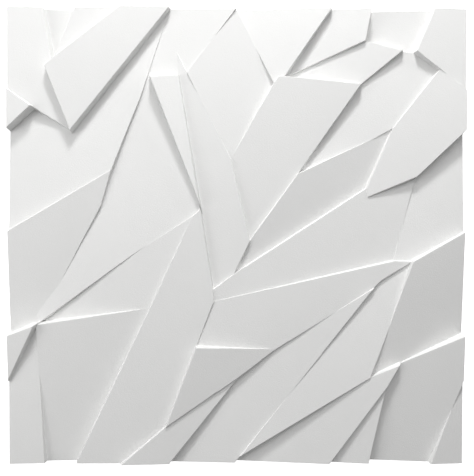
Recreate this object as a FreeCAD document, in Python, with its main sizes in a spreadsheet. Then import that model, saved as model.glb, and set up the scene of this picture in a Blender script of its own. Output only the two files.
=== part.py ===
"""A square wall panel cast in one piece in white gypsum.

The panel lies on its flat back, in millimetres. The relief faces +Z and the edge that hangs
uppermost on the wall lies towards +Y. The relief is a set of flat tilted shards. Each shard is
a closed solid with a flat sloping top and side walls that spread outwards by the mould's draft,
and the shards run into each other, so the higher of two neighbours is the one that is seen.
The relief repeats from panel to panel: a shard that crosses a side of the panel comes in again
at the opposite side, so panels that hang next to each other match.
"""

import FreeCAD, Part
import math
import os

os.makedirs("parts", exist_ok=True)

doc = FreeCAD.newDocument("wall_panel_tile")
sheet = doc.addObject("Spreadsheet::Sheet", "Sizes")

SIZES = [
    ("tile_side", 500.0, "side of the square panel"),
    ("least_thickness", 6.0, "thickness of the casting at the lowest point of its face"),
    ("relief_depth", 24.0, "height from the lowest point of the face to the highest"),
    ("wall_draft", 8.0, "lean of the step walls, in degrees"),
]

for row, (alias, value, note) in enumerate(SIZES, start=1):
    sheet.set("A%d" % row, note)
    sheet.set("B%d" % row, str(value))
    sheet.setAlias("B%d" % row, alias)
doc.recompute()

side = float(sheet.tile_side)
lowest = float(sheet.least_thickness)
depth = float(sheet.relief_depth)
lean = math.tan(math.radians(float(sheet.wall_draft)))

# Junctions where the edges of shards meet, east and north of the panel's middle, as shares of
# its side. The north and west ones lie on the panel's top and left sides.
JUNCTIONS = {
    "north_a": (-0.424, 0.5),
    "north_b": (-0.354, 0.5),
    "north_c": (-0.254, 0.5),
    "north_d": (-0.149, 0.5),
    "north_e": (-0.004, 0.5),
    "north_f": (0.205, 0.5),
    "north_g": (0.292, 0.5),
    "north_h": (0.430, 0.5),
    "west_a": (-0.5, 0.322),
    "west_b": (-0.5, 0.236),
    "west_c": (-0.5, 0.013),
    "west_d": (-0.5, -0.215),
    "west_e": (-0.5, -0.314),
    "inner_1": (-0.415, 0.369),
    "inner_2": (-0.405, 0.380),
    "inner_3": (-0.447, 0.284),
    "inner_4": (-0.362, 0.232),
    "inner_5": (-0.212, 0.309),
    "inner_6": (-0.276, 0.147),
    "inner_7": (-0.299, 0.069),
    "inner_8": (-0.442, -0.173),
    "inner_9": (-0.440, -0.192),
    "inner_10": (-0.189, 0.347),
    "inner_11": (-0.129, 0.353),
    "inner_12": (-0.133, 0.405),
    "inner_13": (-0.110, 0.360),
    "inner_14": (-0.084, 0.081),
    "inner_15": (-0.081, 0.061),
    "inner_16": (-0.098, 0.045),
    "inner_17": (-0.226, -0.036),
    "inner_18": (-0.014, 0.171),
    "inner_19": (0.080, 0.338),
    "inner_20": (0.089, 0.351),
    "inner_21": (0.102, 0.352),
    "inner_22": (0.279, 0.430),
    "inner_23": (0.360, 0.409),
    "inner_24": (0.390, 0.407),
    "inner_25": (0.269, 0.335),
    "inner_26": (0.442, 0.369),
    "inner_27": (0.133, 0.140),
    "inner_28": (0.304, 0.220),
    "inner_29": (0.342, 0.241),
    "inner_30": (0.394, 0.134),
    "inner_31": (0.285, 0.108),
    "inner_32": (0.289, 0.090),
    "inner_33": (0.028, -0.008),
    "inner_34": (-0.007, -0.081),
    "inner_35": (-0.053, -0.116),
    "inner_36": (-0.051, -0.141),
    "inner_37": (0.346, -0.051),
    "inner_38": (0.385, -0.052),
    "inner_39": (0.317, -0.095),
    "inner_40": (0.300, -0.112),
    "inner_41": (-0.089, -0.240),
    "inner_42": (0.086, -0.246),
    "inner_43": (0.007, -0.305),
    "inner_44": (-0.155, -0.416),
    "inner_45": (-0.190, -0.156),
    "inner_46": (0.331, -0.209),
    "inner_47": (0.293, -0.308),
    "inner_48": (0.358, -0.279),
    "inner_49": (0.330, -0.328),
    "inner_50": (0.009, -0.483),
}

STEPS = {"north": (0, 1), "south": (0, -1), "east": (1, 0), "west": (-1, 0)}

# Each shard: the junctions round it, the level of its top at three of them, as shares of the
# relief's depth, and the panels' places in which it shows besides its own. A junction's name
# with /north after it is the same junction on the next panel to the north, and so on.
SHARDS = {
    "corner_crossing": (
        "inner_9/north north_a inner_2 inner_4 inner_3 west_a inner_26/west inner_24/west"
        " north_h/west west_e/north",
        {"inner_9/north": 0.49, "inner_4": 0.47, "inner_24/west": 0.74},
        ["", "east", "south", "south/east"],
    ),
    "top_left_low": (
        "inner_9/north inner_45/north north_b inner_2 north_a",
        {"inner_45/north": 0.50, "inner_2": 0.02, "inner_9/north": 0.65},
        ["", "south"],
    ),
    "long_left": (
        "inner_16 inner_15 inner_35 inner_36 inner_41 inner_44 north_c/south inner_2/south"
        " north_b/south inner_45",
        {"inner_15": 0.74, "inner_41": 0.62, "inner_2/south": 0.52},
        ["", "north"],
    ),
    "top_left_high": (
        "inner_44 inner_43 north_d/south inner_4/south inner_1/south inner_2/south north_c/south",
        {"inner_43": 0.53, "inner_1/south": 0.92, "inner_4/south": 0.82},
        ["", "north"],
    ),
    "long_middle": (
        "north_d inner_43/north inner_42/north inner_40/north inner_50/north north_e inner_13"
        " inner_11 inner_15 inner_16 inner_17 inner_9 inner_8 inner_7 inner_6 inner_5",
        {"inner_40/north": 0.65, "inner_9": 0.33, "inner_15": 0.64},
        ["", "south"],
    ),
    "top_middle": (
        "north_e inner_50/north inner_47/north inner_48/north inner_49/north north_f inner_21"
        " inner_19",
        {"inner_48/north": 0.80, "north_e": 0.18, "inner_21": 0.58},
        ["", "south"],
    ),
    "top_wedge": (
        "north_f inner_49/north north_g inner_22 inner_21",
        {"inner_49/north": 0.67, "inner_22": 0.63, "inner_21": 0.16},
        ["", "south"],
    ),
    "right_crossing": (
        "north_g inner_49/north inner_48/north west_d/north/east inner_9/north/east"
        " west_e/north/east north_h inner_24 inner_23 inner_22",
        {"inner_48/north": 0.51, "inner_9/north/east": 1.00, "inner_22": 0.00},
        ["", "south", "south/west"],
    ),
    "right_arrow": (
        "inner_26 west_a/east inner_3/east west_b/east inner_30 inner_32 inner_31 inner_29",
        {"inner_3/east": 0.86, "inner_31": 0.45, "inner_26": 0.64},
        ["", "west"],
    ),
    "left_slope": (
        "inner_30/west west_b inner_3 north_d inner_5 inner_6 west_c inner_38/west inner_37/west",
        {"inner_37/west": 0.41, "north_d": 0.30, "inner_6": 0.55},
        ["", "east"],
    ),
    "lower_crossing": (
        "inner_38 west_c/east inner_6/east inner_7/east inner_9/east west_d/east inner_48"
        " inner_47 inner_46",
        {"inner_38": 0.80, "inner_6/east": 0.58, "inner_9/east": 0.27},
        ["", "west"],
    ),
    "upper_sliver": (
        "inner_10 inner_11 inner_14",
        {"inner_10": 0.87, "inner_11": 0.67, "inner_14": 0.86},
        [""],
    ),
    "middle_spine": (
        "inner_12 inner_13 inner_18 inner_33 inner_34 inner_35 inner_15 inner_11",
        {"inner_12": 0.44, "inner_33": 0.63, "inner_35": 0.35},
        [""],
    ),
    "upper_kite": (
        "north_e inner_13 inner_18 inner_19",
        {"north_e": 0.40, "inner_13": 0.54, "inner_19": 0.34},
        [""],
    ),
    "middle_blade": (
        "inner_19 inner_20 inner_21 inner_25 inner_27 inner_33 inner_18",
        {"inner_20": 0.65, "inner_25": 0.71, "inner_33": 0.32},
        [""],
    ),
    "middle_hollow": (
        "inner_33 inner_27 inner_28 inner_29 inner_31 inner_34",
        {"inner_33": 0.47, "inner_29": 0.38, "inner_31": 0.19},
        [""],
    ),
    "right_blade": (
        "inner_27 inner_25 inner_23 inner_24 inner_26 inner_29 inner_28",
        {"inner_27": 0.33, "inner_23": 0.36, "inner_29": 0.45},
        [""],
    ),
    "right_wing": (
        "inner_35 inner_34 inner_31 inner_30 inner_37 inner_36",
        {"inner_35": 0.57, "inner_30": 0.35, "inner_37": 0.36},
        [""],
    ),
    "upper_strip": (
        "inner_21 inner_22 inner_23 inner_25",
        {"inner_21": 0.10, "inner_22": 0.48, "inner_25": 0.45},
        [""],
    ),
    "left_fin": (
        "inner_9 inner_17 inner_16 inner_45",
        {"inner_9": 0.14, "inner_16": 0.70, "inner_45": 0.52},
        [""],
    ),
    "lower_wing": (
        "inner_36 inner_37 inner_38 inner_39 inner_40 inner_42 inner_41",
        {"inner_36": 0.58, "inner_38": 0.58, "inner_42": 0.57},
        [""],
    ),
    "lower_peak": (
        "inner_41 inner_42 inner_43 inner_44",
        {"inner_41": 0.91, "inner_42": 0.56, "inner_44": 0.77},
        [""],
    ),
    "lower_blade": (
        "inner_38 inner_46 inner_47 inner_50 inner_40 inner_39",
        {"inner_38": 0.49, "inner_47": 0.74, "inner_50": 0.60},
        [""],
    ),
}


def plan(token):
    """The place of a junction on the panel or on one of the panels around it."""
    name, *steps = token.split("/")
    x, y = JUNCTIONS[name]
    for step in steps:
        x += STEPS[step][0]
        y += STEPS[step][1]
    return x * side, y * side


def slope(levels):
    """The plane through three junctions at their levels, as its height at the middle and its rises."""
    (ax, ay, az), (bx, by, bz), (cx, cy, cz) = [
        (*plan(token), lowest + share * depth) for token, share in levels.items()
    ]
    det = (bx - ax) * (cy - ay) - (cx - ax) * (by - ay)
    east = ((bz - az) * (cy - ay) - (cz - az) * (by - ay)) / det
    north = ((bx - ax) * (cz - az) - (cx - ax) * (bz - az)) / det
    return az - east * ax - north * ay, east, north


def face(points):
    """A flat face through the points."""
    return Part.Face(Part.makePolygon(points + points[:1]))


def shard(outline, levels):
    """A shard: a sloping flat top, walls that spread downwards, and a flat foot at the back."""
    middle, east, north = slope(levels)
    tops = []
    for token in outline.split():
        x, y = plan(token)
        tops.append((x, y, middle + east * x + north * y))
    turn = 0.0
    for one, two in zip(tops, tops[1:] + tops[:1]):
        turn += one[0] * two[1] - two[0] * one[1]
    if turn < 0:
        tops.reverse()
    count = len(tops)
    walls = []
    for i in range(count):
        ax, ay, az = tops[i]
        bx, by, bz = tops[(i + 1) % count]
        run = math.hypot(bx - ax, by - ay)
        ex, ey = (bx - ax) / run, (by - ay) / run
        skew = -lean * (bz - az) / run
        nx, ny = ey + skew * ex, -ex + skew * ey
        walls.append((nx, ny, nx * ax + ny * ay + lean * az))
    feet = []
    for i in range(count):
        mx, my, before = walls[i - 1]
        nx, ny, after = walls[i]
        det = mx * ny - my * nx
        feet.append(((before * ny - after * my) / det, (mx * after - nx * before) / det, 0.0))
    top = [FreeCAD.Vector(*p) for p in tops]
    foot = [FreeCAD.Vector(*p) for p in feet]
    faces = [face(top), face(foot[::-1])]
    for i in range(count):
        j = (i + 1) % count
        faces.append(face([top[i], foot[i], foot[j], top[j]]))
    return Part.Solid(Part.Shell(faces))


solids = []
for name, (outline, levels, panels) in SHARDS.items():
    solid = shard(outline, levels)
    for panel in panels:
        move = FreeCAD.Vector(0, 0, 0)
        for step in panel.split("/"):
            if step:
                move += FreeCAD.Vector(STEPS[step][0] * side, STEPS[step][1] * side, 0)
        copy = solid.copy()
        copy.translate(move)
        solids.append(copy)

shards = doc.addObject("Part::Feature", "shards")
shards.Shape = solids[0].fuse(solids[1:])

web = doc.addObject("Part::Box", "web")
web.setExpression("Length", "Sizes.tile_side * 1.1")
web.setExpression("Width", "Sizes.tile_side * 1.1")
web.setExpression("Height", "Sizes.least_thickness * 0.8")
web.setExpression("Placement.Base.x", "-Sizes.tile_side * 0.55")
web.setExpression("Placement.Base.y", "-Sizes.tile_side * 0.55")

relief = doc.addObject("Part::MultiFuse", "relief")
relief.Shapes = [web, shards]

trim = doc.addObject("Part::Box", "trim")
trim.setExpression("Length", "Sizes.tile_side")
trim.setExpression("Width", "Sizes.tile_side")
trim.setExpression("Height", "Sizes.least_thickness + 2 * Sizes.relief_depth")
trim.setExpression("Placement.Base.x", "-Sizes.tile_side / 2")
trim.setExpression("Placement.Base.y", "-Sizes.tile_side / 2")

wall_panel = doc.addObject("Part::MultiCommon", "wall_panel")
wall_panel.Shapes = [relief, trim]
wall_panel.Refine = True
wall_panel.Label = "wall_panel"
wall_panel.Placement = FreeCAD.Placement()

doc.recompute()

for item in doc.Objects:
    if "Invalid" in item.State or "Error" in item.State:
        raise RuntimeError("%s did not build: %s" % (item.Name, item.State))

body = wall_panel.Shape
if body.isNull() or not body.isValid():
    raise RuntimeError("wall_panel has no valid shape")
if len(body.Solids) != 1:
    raise RuntimeError("wall_panel has %d solids" % len(body.Solids))

print("wall_panel", body.BoundBox, "volume", round(body.Volume), "faces", len(body.Faces))
body.exportStep("parts/wall_panel.step")
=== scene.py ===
"""The wall panel as it is photographed: flat on its back, seen from straight above."""

import bpy
import bmesh
import math
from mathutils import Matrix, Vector


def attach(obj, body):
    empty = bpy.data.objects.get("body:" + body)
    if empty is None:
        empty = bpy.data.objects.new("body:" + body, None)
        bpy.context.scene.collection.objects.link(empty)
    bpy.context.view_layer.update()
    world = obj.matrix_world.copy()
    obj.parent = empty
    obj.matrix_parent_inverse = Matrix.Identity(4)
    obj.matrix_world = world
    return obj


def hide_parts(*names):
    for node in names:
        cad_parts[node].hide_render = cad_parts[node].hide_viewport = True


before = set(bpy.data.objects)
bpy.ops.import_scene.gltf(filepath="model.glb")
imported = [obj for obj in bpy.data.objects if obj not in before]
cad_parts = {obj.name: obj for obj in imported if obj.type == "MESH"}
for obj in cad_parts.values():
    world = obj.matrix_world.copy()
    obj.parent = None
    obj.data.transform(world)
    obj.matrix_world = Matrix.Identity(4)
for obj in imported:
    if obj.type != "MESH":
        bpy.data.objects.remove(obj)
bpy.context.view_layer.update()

# The surface: the tooth's depth in metres, the noises in waves or cells per metre, and the radius
# of a pore as a share of its cell.
tooth_depth = 0.0004
tooth_waves = 900.0
pore_cells = 150.0
pore_radius = 0.08
cloud_waves = 9.0

# The easing of the edges: which are eased, how much, and how close to a corner, in metres.
edge_radius = 0.0005
least_turn = math.radians(15)
narrow = math.radians(60)
flat = math.radians(5)
corner_share = 2.4
least_sine = 0.02

# What joins triangles into flat faces: an angle, and a distance in metres.
coplanar = math.radians(0.3)
same_point = 1e-6

# What counts as a fold: a turn, or a normal's upward part on a face that stands above the back by
# some metres. Faces under a speck, in square metres, don't count.
folded = math.radians(165)
downward = -0.02
above_back = 0.001
speck = 1e-10
most_trials = 8

# The studio: the floor's side in metres, and the strengths of its glow and of the air's light.
floor_size = 12.0
floor_glow = 0.9
air_light = 0.09


def srgb(text):
    """A hex colour as linear red, green and blue with an alpha of 1."""
    parts = [int(text[i:i + 2], 16) / 255 for i in (0, 2, 4)]
    return [p / 12.92 if p <= 0.04045 else ((p + 0.055) / 1.055) ** 2.4 for p in parts] + [1.0]


def add(tree, kind, **values):
    """A node of the kind, with its properties and its unlinked inputs set by name."""
    node = tree.nodes.new(kind)
    for name, value in values.items():
        if hasattr(node, name):
            setattr(node, name, value)
        else:
            node.inputs[name.replace("_", " ")].default_value = value
    return node


def cast_gypsum():
    """Matt cast gypsum: nearly white, faintly clouded, with a slight tooth and sparse fine pores."""
    mat = bpy.data.materials.new("cast_gypsum")
    mat.use_nodes = True
    tree = mat.node_tree
    tree.nodes.clear()
    link = tree.links.new
    out = add(tree, "ShaderNodeOutputMaterial")
    shader = add(tree, "ShaderNodeBsdfPrincipled", Roughness=0.85)
    shader.inputs["Specular IOR Level"].default_value = 0.3
    link(shader.outputs[0], out.inputs[0])
    place = add(tree, "ShaderNodeTexCoord")
    cloud = add(tree, "ShaderNodeTexNoise", Scale=cloud_waves, Detail=4.0, Roughness=0.55)
    link(place.outputs["Object"], cloud.inputs["Vector"])
    tint = add(tree, "ShaderNodeMix", data_type="RGBA")
    tint.inputs[6].default_value = srgb("E6E6E5")
    tint.inputs[7].default_value = srgb("ECECEB")
    link(cloud.outputs["Fac"], tint.inputs[0])
    link(tint.outputs[2], shader.inputs["Base Color"])
    grain = add(tree, "ShaderNodeTexNoise", Scale=tooth_waves, Detail=3.0)
    link(place.outputs["Object"], grain.inputs["Vector"])
    pores = add(tree, "ShaderNodeTexVoronoi", Scale=pore_cells)
    link(place.outputs["Object"], pores.inputs["Vector"])
    pit = add(tree, "ShaderNodeMapRange", From_Max=pore_radius)
    link(pores.outputs["Distance"], pit.inputs["Value"])
    height = add(tree, "ShaderNodeMath", operation="ADD")
    link(grain.outputs["Fac"], height.inputs[0])
    link(pit.outputs["Result"], height.inputs[1])
    bump = add(tree, "ShaderNodeBump", Strength=0.5, Distance=tooth_depth)
    link(height.outputs[0], bump.inputs["Height"])
    link(bump.outputs[0], shader.inputs["Normal"])
    return mat


def joined_form(node):
    """The node's solid with its triangles joined into flat faces and its parts numbered."""
    form = bmesh.new()
    form.from_mesh(node.data)
    form.transform(node.matrix_world)
    bmesh.ops.remove_doubles(form, verts=form.verts, dist=same_point)
    bmesh.ops.dissolve_limit(form, angle_limit=coplanar, verts=form.verts, edges=form.edges)
    form.verts.index_update()
    form.edges.index_update()
    return form


def narrow_corners(form, sharp):
    """How far from each end of the sharp edges the easing stops, where a corner is narrow or flat."""
    held = {}
    for vert in form.verts:
        for corner in vert.link_loops:
            pair = (corner.edge, corner.link_loop_prev.edge)
            angle = corner.calc_angle()
            if narrow <= angle <= math.pi - flat:
                continue
            if pair[0].index not in sharp or pair[1].index not in sharp:
                continue
            stop = corner_share * edge_radius / max(math.sin(angle), least_sine)
            for edge in pair:
                key = (edge.index, vert.index)
                held[key] = max(held.get(key, 0), stop)
    return held


def ease(form, sharp, held):
    """Round the sharp edges between their held ends, and give the stretches that were rounded."""
    edges = list(form.edges)
    eased = []
    stretches = []
    for number in sharp:
        edge = edges[number]
        length = edge.calc_length()
        first, last = edge.verts
        ends = [held.get((number, vert.index), 0) for vert in (first, last)]
        if sum(ends) + 2 * edge_radius > length:
            continue
        stretches.append((number, first.index, last.index, first.co.copy(), last.co.copy(), *ends))
        if ends[1]:
            bmesh.utils.edge_split(edge, last, ends[1] / length)
        if ends[0]:
            bmesh.utils.edge_split(edge, first, ends[0] / edge.calc_length())
        eased.append(edge)
    bmesh.ops.bevel(form, geom=eased, offset=edge_radius, offset_type="OFFSET", segments=2, profile=0.5,
                    affect="EDGES", clamp_overlap=False)
    bmesh.ops.triangulate(form, faces=form.faces)
    return stretches


def folds(form):
    """Places where the eased surface turns over: faces that look down, and edges folded flat."""
    spots = []
    for tri in form.faces:
        foot = min(v.co.z for v in tri.verts)
        if tri.calc_area() > speck and tri.normal.z < downward and foot > above_back:
            spots.append(tri.calc_center_median())
    for edge in form.edges:
        if edge.calc_face_angle() > folded and min(f.calc_area() for f in edge.link_faces) > speck:
            spots.append((edge.verts[0].co + edge.verts[1].co) / 2)
    return spots


def hold_back(spots, stretches, held):
    """Stop the easing short of each fold that lies on an eased stretch, from the nearer end."""
    reach = 4 * edge_radius
    for spot in spots:
        for number, first, last, start, stop, ahead, behind in stretches:
            way = stop - start
            along = min(max((spot - start).dot(way) / way.length, 0), way.length)
            if (spot - start - way * (along / way.length)).length > reach:
                continue
            if not ahead - reach <= along <= way.length - behind + reach:
                continue
            key, far = (number, first), along
            if 2 * along >= way.length:
                key, far = (number, last), way.length - along
            held[key] = max(held.get(key, 0), far + reach)


def eased_copy(node, name):
    """A copy of the node's solid with its arrises and inner corners slightly rounded.

    The easing is tried again with longer held ends until it makes no folds, up to most_trials times.
    """
    solid = joined_form(node)
    sharp = [e.index for e in solid.edges if e.calc_face_angle() > least_turn]
    held = narrow_corners(solid, set(sharp))
    for _ in range(most_trials):
        form = solid.copy()
        form.verts.index_update()
        stretches = ease(form, sharp, held)
        spots = folds(form)
        if not spots:
            break
        hold_back(spots, stretches, held)
    mesh = bpy.data.meshes.new(name)
    form.to_mesh(mesh)
    item = bpy.data.objects.new(name, mesh)
    bpy.context.scene.collection.objects.link(item)
    return item


panel = eased_copy(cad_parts["wall_panel"], "cast_panel")
panel.data.materials.append(cast_gypsum())
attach(panel, "root")
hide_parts("wall_panel")


def white_floor():
    """A pale floor that keeps the shadows and shows white where no shadow falls."""
    mat = bpy.data.materials.new("studio_floor")
    mat.use_nodes = True
    tree = mat.node_tree
    tree.nodes.clear()
    link = tree.links.new
    out = add(tree, "ShaderNodeOutputMaterial")
    seen = add(tree, "ShaderNodeBsdfDiffuse")
    seen.inputs["Color"].default_value = srgb("FFFFFF")
    glow = add(tree, "ShaderNodeEmission", Strength=floor_glow)
    both = add(tree, "ShaderNodeAddShader")
    link(seen.outputs[0], both.inputs[0])
    link(glow.outputs[0], both.inputs[1])
    plain = add(tree, "ShaderNodeBsdfDiffuse")
    plain.inputs["Color"].default_value = srgb("E4E4E4")
    path = add(tree, "ShaderNodeLightPath")
    mix = add(tree, "ShaderNodeMixShader")
    link(path.outputs["Is Camera Ray"], mix.inputs[0])
    link(plain.outputs[0], mix.inputs[1])
    link(both.outputs[0], mix.inputs[2])
    link(mix.outputs[0], out.inputs[0])
    return mat


bpy.ops.mesh.primitive_plane_add(size=floor_size)
floor = bpy.context.object
floor.name = "studio_floor"
floor.data.materials.append(white_floor())

world = bpy.data.worlds.new("studio_air")
bpy.context.scene.world = world
world.use_nodes = True
air = world.node_tree.nodes["Background"]
air.inputs[0].default_value = srgb("FFFFFF")
air.inputs[1].default_value = air_light


def lamp(name, place, power, width, height):
    """A soft area lamp at a place, turned to the middle of the panel's back."""
    data = bpy.data.lights.new(name, "AREA")
    data.shape = "RECTANGLE"
    data.size = width
    data.size_y = height
    data.energy = power
    item = bpy.data.objects.new(name, data)
    bpy.context.scene.collection.objects.link(item)
    item.location = place
    item.rotation_euler = (-Vector(place)).to_track_quat("-Z", "Y").to_euler()
    return item


# The powers, in watts, began as a fit of single-lamp renders to the photo and were then trimmed.
lamp("window", (0.03, 1.25, 0.545), 11.9, 0.24, 0.19)
lamp("overhead", (0.0, 0.9, 1.4), 6.3, 1.2, 0.8)
lamp("left_fill", (-1.0, 0.2, 0.9), 3.9, 0.8, 0.6)
lamp("low_left_fill", (-0.9, 0.0, 0.4), 1.4, 0.5, 0.4)
lamp("right_fill", (0.75, 0.6, 0.25), 1.6, 0.5, 0.3)
lamp("front_fill", (0.0, -0.9, 0.9), 2.2, 0.8, 0.6)
lamp("near_fill", (0.0, 0.5, 0.35), 0.4, 0.4, 0.3)

# The camera's place, turn and lens are rounded from a least-squares fit to the photo's outline.
view = bpy.data.cameras.new("camera")
view.sensor_width = 36.0
view.lens = 44.95
view.clip_start = 0.01
camera = bpy.data.objects.new("camera", view)
bpy.context.scene.collection.objects.link(camera)
camera.location = (-0.0067, 0.0133, 0.671)
camera.rotation_euler = (-0.0214, -0.0101, 0.0025)
bpy.context.scene.camera = camera

bpy.context.scene.view_settings.view_transform = "Standard"
